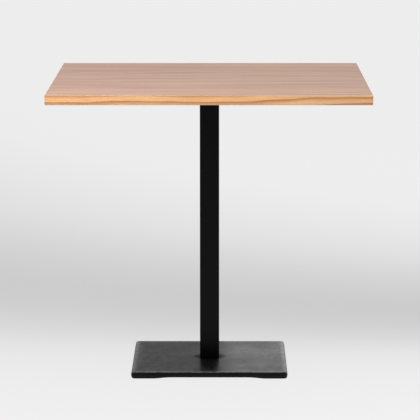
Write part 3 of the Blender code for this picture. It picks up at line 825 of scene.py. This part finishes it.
def foot_cutter():
    """The four foot recesses with the studs' holes above them, as one mesh."""
    work = bmesh.new()
    for corner in CORNERS:
        centre = middle_of(corner + "_foot_pad")
        hole = Skin()
        hole.rings(
            circle(FOOT_RECESS + CUTTER_FLARE, base_low.z - CUTTER_DROP, centre),
            circle(FOOT_RECESS, base_low.z + RECESS_ROUNDING, centre),
            circle(FOOT_RECESS, FOOT_RECESS_TOP - RECESS_ROUNDING, centre),
            circle(FOOT_RECESS - RECESS_ROUNDING, FOOT_RECESS_TOP, centre),
            circle(STUD_HOLE + RECESS_ROUNDING, FOOT_RECESS_TOP, centre),
            circle(STUD_HOLE, FOOT_RECESS_TOP + RECESS_ROUNDING, centre),
            circle(STUD_HOLE, RECESS_TOP, centre),
        )
        hole.cap()
        bmesh.ops.recalc_face_normals(hole.work, faces=hole.work.faces)
        mesh = bpy.data.meshes.new("hole")
        hole.work.to_mesh(mesh)
        hole.work.free()
        work.from_mesh(mesh)
        bpy.data.meshes.remove(mesh)
    mesh = bpy.data.meshes.new("foot_cutter")
    work.to_mesh(mesh)
    work.free()
    cutter = bpy.data.objects.new("foot_cutter", mesh)
    bpy.context.scene.collection.objects.link(cutter)
    return cutter


def paint_arris_highlight(mesh):
    """Marks the casting's upper rim, where a highlight is painted into the coat's colour."""
    arris_highlight = mesh.attributes.new("arris_highlight", "FLOAT", "POINT")
    for vertex, mark in zip(mesh.vertices, arris_highlight.data):
        inset = BASE_HALF - max(abs(vertex.co.x), abs(vertex.co.y))
        drop = PLATE_TOP - vertex.co.z
        mark.value = max(0, 1 - (abs(inset - ARRIS_HIGHLIGHT_INSET) + drop) / TOP_ROUNDING)


# ---------------------------------------------------------------- column, plate and locator


def make_column(look):
    low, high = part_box("column_tube")
    half = high.x
    skin = Skin()
    faces = ((half, COLUMN_OUTER_RADIUS, 1), (half - COLUMN_WALL, COLUMN_INNER_RADIUS, -1))
    ends = ((SAWN_EDGE, low.z), (0, low.z + SAWN_EDGE), (0, high.z - SAWN_EDGE), (SAWN_EDGE, high.z))
    for reach, radius, outwards in faces:
        for inset, z in ends[::outwards]:
            inset *= outwards
            corner = max(radius - inset, SAWN_EDGE)
            outline = rounded_square(reach - inset, corner, STRAIGHT_STEPS, TUBE_CORNER_STEPS)
            skin.ring(at_height(outline, z))
    skin.close()
    add_piece("column_tube", skin.work, look)


def make_locator(look):
    low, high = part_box("upper_locator")
    outline, small, eased = (
        rounded_square(high.x - inset, LOCATOR_CORNER - inset, STRAIGHT_STEPS)
        for inset in (0, LOCATOR_CHAMFER, EASE)
    )
    hole = round_like(outline, ROD_HOLE)
    mouth = round_like(outline, ROD_HOLE + EASE)
    skin = Skin()
    skin.rings(
        at_height(mouth, low.z),
        at_height(small, low.z),
        at_height(outline, low.z + LOCATOR_CHAMFER),
        at_height(outline, high.z - EASE),
        at_height(eased, high.z),
        at_height(mouth, high.z),
        at_height(hole, high.z - EASE),
        at_height(hole, low.z + EASE),
    )
    skin.close()
    add_piece("upper_locator", skin.work, look)


def make_plate(look):
    """The mounting plate, cut from sheet, with its edges and holes lightly broken."""
    low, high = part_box("mounting_plate")
    curve = bpy.data.curves.new("plate_outline", "CURVE")
    curve.dimensions = "2D"
    curve.fill_mode = "BOTH"
    curve.extrude = (high.z - low.z) / 2 - SHEET_EDGE
    curve.bevel_depth = SHEET_EDGE
    curve.bevel_resolution = 2
    curve.offset = -SHEET_EDGE
    outlines = [rounded_square(high.x, SHEET_CORNER, corner_steps=TUBE_CORNER_STEPS)]
    holes = [((0, 0), ROD_HOLE)]
    for number in range(1, SCREWS + 1):
        holes.append((middle_of(f"plate_screw_{number}"), SCREW_HOLE))
    for centre, radius in holes:
        outlines.append([(x, y) for x, y, z in circle(radius, 0, centre, THREAD_STEPS)])
    for outline in outlines:
        spline = curve.splines.new("POLY")
        spline.points.add(len(outline) - 1)
        for point, (x, y) in zip(spline.points, outline):
            point.co = (x, y, 0, 1)
        spline.use_cyclic_u = True
    flat = bpy.data.objects.new("plate_outline", curve)
    bpy.context.scene.collection.objects.link(flat)
    graph = bpy.context.evaluated_depsgraph_get()
    mesh = bpy.data.meshes.new_from_object(flat.evaluated_get(graph))
    bpy.data.objects.remove(flat)
    work = bmesh.new()
    work.from_mesh(mesh)
    bpy.data.meshes.remove(mesh)
    bmesh.ops.remove_doubles(work, verts=work.verts, dist=0.001 * MM)
    bmesh.ops.translate(work, verts=work.verts, vec=(0, 0, (low.z + high.z) / 2))
    add_piece("mounting_plate", work, look)


# ---------------------------------------------------------------- fixings


def make_rod(look):
    low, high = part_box("tie_rod")
    radius = high.x
    root = radius - THREAD_DEPTH * M10_PITCH
    thread_length = (ROD_THREAD_TURNS + 1) * M10_PITCH
    start = low.z + EASE
    upper = high.z - EASE - thread_length

    def around(reach, z):
        return circle(reach, z, steps=THREAD_STEPS)

    skin = Skin()
    skin.rings(around(root - 2 * EASE, low.z), around(root, start))
    skin.thread(radius, M10_PITCH, start, ROD_THREAD_TURNS, around(root, start + thread_length))
    skin.ring(around(radius, start + thread_length + EASE))
    skin.rings(around(radius, upper - EASE), around(root, upper))
    skin.thread(radius, M10_PITCH, upper, ROD_THREAD_TURNS, around(root, high.z - EASE))
    skin.ring(around(root - 2 * EASE, high.z))
    skin.cap()
    add_piece("tie_rod", skin.work, look)


def make_nut(node, look):
    low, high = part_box(node)
    bore = ROD_HOLE - EASE / 2
    face = NUT_FACE * NUT_ACROSS_FLATS
    corner = NUT_ACROSS_FLATS / 2 / math.cos(math.tau / 12)
    slope = math.tan(NUT_CHAMFER)
    skin = Skin()
    skin.ring(circle(bore + EASE, low.z))
    cuts = [face + (corner - face) * step / EASE_STEPS for step in range(EASE_STEPS + 1)]
    for limit in cuts:
        skin.ring(hexagon(NUT_ACROSS_FLATS, low.z + (limit - face) * slope, limit=limit))
    for limit in reversed(cuts):
        skin.ring(hexagon(NUT_ACROSS_FLATS, high.z - (limit - face) * slope, limit=limit))
    skin.ring(circle(bore + EASE, high.z))
    skin.rings(circle(bore, high.z - EASE), circle(bore, low.z + EASE))
    skin.close()
    add_piece(node, skin.work, look, smooth_below=25)


def make_washer(node, look):
    """Stamped, so its upper edge is rolled over and the lower one stays crisp."""
    low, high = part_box(node)
    outer = high.x
    skin = Skin()
    crisp = EASE / 3
    rolled = 2 * EASE
    skin.ring(circle(ROD_HOLE + EASE / 2, low.z))
    skin.rings(circle(outer - crisp, low.z), circle(outer, low.z + crisp))
    for sine, cosine in arc_shares(EASE_STEPS):
        skin.ring(circle(outer - rolled * (1 - cosine), high.z - rolled * (1 - sine)))
    skin.ring(circle(ROD_HOLE + rolled, high.z))
    skin.rings(circle(ROD_HOLE, high.z - EASE), circle(ROD_HOLE, low.z + EASE / 2))
    skin.close()
    add_piece(node, skin.work, look)


def make_screw(node, look, profile, key_depth, pitch, radius):
    """A screw whose head is at the bottom, with a hexagon socket in it. The profile is the head's
    outside, as (radius, height over the head's end)."""
    low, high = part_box(node)
    centre = middle_of(node)
    root = radius - THREAD_DEPTH * pitch
    socket = KEY_ACROSS_FLATS

    def around(reach, z):
        return circle(reach, z, centre, SOCKET_STEPS)

    skin = Skin()
    skin.ring(around(socket / 8, low.z + key_depth + EASE))
    for across, lift in ((socket, key_depth), (socket, EASE), (socket + 2 * EASE, 0)):
        skin.ring(hexagon(across, low.z + lift, centre, SOCKET_STEPS))
    for reach, lift in profile:
        skin.ring(around(reach, low.z + lift))
    seat = low.z + profile[-1][1]
    turns = int((high.z - EASE - seat) / pitch) - 1
    tip = high.z - 2 * EASE
    start = tip - (turns + 1) * pitch
    skin.rings(around(root, seat), around(root, start))
    skin.thread(radius, pitch, start, turns, around(root, tip), centre)
    skin.ring(around(root - 2 * EASE, high.z))
    skin.cap()
    add_piece(node, skin.work, look)


def button_head():
    """A domed head with a flat rim round the socket."""
    radius = 5.5 * MM
    height = 3.0 * MM
    rim = 0.5 * MM
    flat = 3.2 * MM
    profile = [(flat, 0)]
    for sine, cosine in arc_shares(EDGE_STEPS)[1:]:
        profile.append((flat + (radius - flat) * sine, (height - rim) * (1 - cosine)))
    return profile + [(radius, height - EASE / 3), (radius - EASE / 3, height)]


def stud_head():
    """A flat head that the pad holds."""
    radius = 7 * MM
    height = 2 * MM
    return [
        (radius - EASE, 0),
        (radius, EASE),
        (radius, height - EASE),
        (radius - EASE, height),
    ]


def make_insert(node, look):
    """A knurled sleeve with ridges that bite into the core."""
    low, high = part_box(node)
    centre = middle_of(node)
    bore = 3.3 * MM
    crest = 5 * MM
    waist = 4.4 * MM
    ridges = 3
    knurl = 0.035  # depth as a share of the radius
    soft = crest - EASE / 3
    pitch = (high.z - low.z) / ridges
    skin = Skin()
    skin.ring(circle(bore, low.z, centre))
    for ridge in range(ridges):
        bottom = low.z + ridge * pitch
        skin.ring(circle(waist, bottom + EASE / 3, centre))
        for share, reach in ((0.3, soft), (0.36, crest), (0.62, crest), (0.68, soft)):
            ring = circle(reach, bottom + share * pitch, centre)
            for index in range(0, len(ring), KNURL_STEPS):
                x, y, z = ring[index]
                x -= knurl * (x - centre[0])
                y -= knurl * (y - centre[1])
                ring[index] = (x, y, z)
            skin.ring(ring)
    skin.rings(circle(waist, high.z, centre), circle(bore + EASE, high.z, centre))
    skin.ring(circle(bore, high.z - EASE, centre))
    skin.close()
    add_piece(node, skin.work, look)


def make_pad(node, look):
    """A moulded disc that holds the stud's head, with grip rings under it."""
    low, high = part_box(node)
    centre = middle_of(node)
    radius = (high.x - low.x) / 2
    rounding = 1.2 * MM
    key_hole = 3 * MM
    web = 1.3 * MM
    cavity = 7.3 * MM
    cavity_top = 3.9 * MM
    neck = 4.3 * MM
    groove = 0.35 * MM
    rolled = 2 * EASE
    profile = [(key_hole, 0), (key_hole + EASE, 0)]
    for reach in (5 * MM, 7 * MM, 9 * MM, 11 * MM):
        for step, depth in enumerate((0, groove, groove, 0)):
            profile.append((reach + step * groove, depth))
    for sine, cosine in arc_shares(EDGE_STEPS):
        profile.append((radius - rounding * (1 - sine), rounding * (1 - cosine)))
    for sine, cosine in arc_shares(EASE_STEPS):
        profile.append((radius - rolled * (1 - cosine), high.z - rolled * (1 - sine)))
    profile += [(neck + EASE, high.z), (neck, high.z - EASE), (neck, cavity_top)]
    profile += [(cavity, cavity_top), (cavity, web), (key_hole + EASE, web), (key_hole, web - EASE)]
    skin = Skin()
    for reach, z in profile:
        skin.ring(circle(reach, z, centre, PAD_STEPS))
    skin.close()
    add_piece(node, skin.work, look, smooth_below=30)


# ---------------------------------------------------------------- stage, lights and camera

def make_floor():
    """A pale floor that shows from above only. Its tone changes softly with the distance behind the
    table, with a band of painted shade behind it, and it glows a little with that tone, painted light
    that keeps it even under the lights."""
    work = bmesh.new()
    bmesh.ops.create_circle(work, cap_ends=True, radius=STAGE_RADIUS, segments=STAGE_STEPS)
    mesh = bpy.data.meshes.new("floor")
    work.to_mesh(mesh)
    work.free()
    floor = bpy.data.objects.new("floor", mesh)
    bpy.context.scene.collection.objects.link(floor)
    look = Look("pale_floor")
    low, high = FLOOR_TONES_WITH_PAINTED_SHADE[0][0], FLOOR_TONES_WITH_PAINTED_SHADE[-1][0]
    aside = look.node("Clamp", {"Value": look.axis("X"), "Min": -1.0}).outputs["Result"]
    skew = look.maths("MULTIPLY_ADD", aside, FLOOR_SKEW, 1.0)
    behind_table = look.maths("MULTIPLY", look.axis("Y"), skew)
    share = look.maths("DIVIDE", look.maths("SUBTRACT", behind_table, low), high - low)
    # painted shade: the darker band behind the table
    ramp = look.node("ValToRGB", {"Fac": share})
    stops = ramp.color_ramp
    stops.interpolation = "B_SPLINE"
    while len(stops.elements) < len(FLOOR_TONES_WITH_PAINTED_SHADE):
        stops.elements.new(0.5)
    for stop, (place, tone) in zip(stops.elements, FLOOR_TONES_WITH_PAINTED_SHADE):
        stop.position = (place - low) / (high - low)
        stop.color = (tone, tone, tone, 1)
    tone = ramp.outputs["Color"]
    paint = look.blend(1.0, tone, (FLOOR_DIFFUSE,) * 3, "MULTIPLY")
    matt = look.node("BsdfDiffuse", {"Color": paint})
    glow = look.node("Emission", {"Color": tone, "Strength": FLOOR_GLOW})
    both = look.node("AddShader", {0: matt.outputs[0], 1: glow.outputs[0]})
    clear = look.node("BsdfTransparent")
    behind = look.node("NewGeometry").outputs["Backfacing"]
    sides = look.node("MixShader", {0: behind, 1: both.outputs[0], 2: clear.outputs[0]})
    look.feed(look.tree.nodes["Material Output"].inputs["Surface"], sides.outputs[0])
    mesh.materials.append(look.material)


def add_light(name, place, target, size, power):
    """A rectangular soft light that the camera doesn't see."""
    data = bpy.data.lights.new(name, "AREA")
    data.shape = "RECTANGLE"
    data.size, data.size_y = size
    data.energy = power
    light = bpy.data.objects.new(name, data)
    light.location = place
    light.rotation_euler = (Vector(target) - Vector(place)).to_track_quat("-Z", "Y").to_euler()
    light.visible_camera = False
    bpy.context.scene.collection.objects.link(light)
    return light


def light_only(light, *pieces):
    """The light falls on these pieces alone."""
    lit = bpy.data.collections.new(light.name + "_receiver")
    for piece in pieces:
        lit.objects.link(bpy.data.objects[piece])
    light.light_linking.receiver_collection = lit


def make_world():
    """Even studio light, dimmer low down."""
    world = bpy.data.worlds.new("studio")
    world.use_nodes = True
    tree = world.node_tree
    direction = tree.nodes.new("ShaderNodeTexCoord")
    parts = tree.nodes.new("ShaderNodeSeparateXYZ")
    tree.links.new(direction.outputs["Generated"], parts.inputs["Vector"])
    span = tree.nodes.new("ShaderNodeMapRange")
    span.interpolation_type = "SMOOTHSTEP"
    span.inputs["From Max"].default_value = WORLD_RISE
    span.inputs["To Min"].default_value = WORLD_STRENGTH * WORLD_LOW
    span.inputs["To Max"].default_value = WORLD_STRENGTH
    tree.links.new(parts.outputs["Z"], span.inputs["Value"])
    background = tree.nodes["Background"]
    background.inputs["Color"].default_value = (1.0, 1.0, 1.0, 1)
    tree.links.new(span.outputs["Result"], background.inputs["Strength"])
    bpy.context.scene.world = world


def make_camera():
    data = bpy.data.cameras.new("camera")
    data.lens = CAMERA_LENS
    data.sensor_width = 36
    data.clip_end = 100
    camera = bpy.data.objects.new("camera", data)
    camera.location = CAMERA_PLACE
    camera.rotation_euler = (math.tau / 4 + CAMERA_PITCH, CAMERA_ROLL, CAMERA_TURN)
    bpy.context.scene.collection.objects.link(camera)
    bpy.context.scene.camera = camera


# ---------------------------------------------------------------- the table

make_tabletop()
satin = powder_coat()
make_casting(cast_coat())
make_column(satin)
make_plate(satin)
zinc = zinc_plate()
oxide = black_oxide()
nylon = moulded_nylon()
make_locator(oxide)
make_rod(zinc)
for level in ("upper", "lower"):
    make_nut(level + "_nut", zinc)
    make_washer(level + "_washer", zinc)
for number in range(1, SCREWS + 1):
    screw = f"plate_screw_{number}"
    make_screw(screw, oxide, button_head(), SCREW_KEY_DEPTH, M6_PITCH, SCREW_THREAD)
    make_insert(f"threaded_insert_{number}", zinc)
for corner in CORNERS:
    make_pad(corner + "_foot_pad", nylon)
    stud = corner + "_foot_stud"
    make_screw(stud, zinc, stud_head(), STUD_KEY_DEPTH, M8_PITCH, STUD_THREAD)

woodwork = ["top_veneer_fine"] + [side + "_lipping_fine" for side in SIDES]
make_floor()
make_world()
front = add_light("front_softbox", (-0.5, -1.4, 1.45), (0, -0.3, 0.73), (1.7, 0.9), 33.5)
light_only(front, *woodwork)
front.visible_glossy = False  # so that it doesn't show in the lacquer from behind the table
add_light("overhead_softbox", (0, 1.2, 3.2), (0, 0, 0.5), (3.4, 2.4), 46)
card = add_light("right_rear_card", (0.46, 1.0, 0.34), (0.46, 0, 0.1), (0.84, 0.5), 0.9)
light_only(card, "base_plate_fine")
make_camera()
bpy.context.scene.view_settings.view_transform = "Standard"
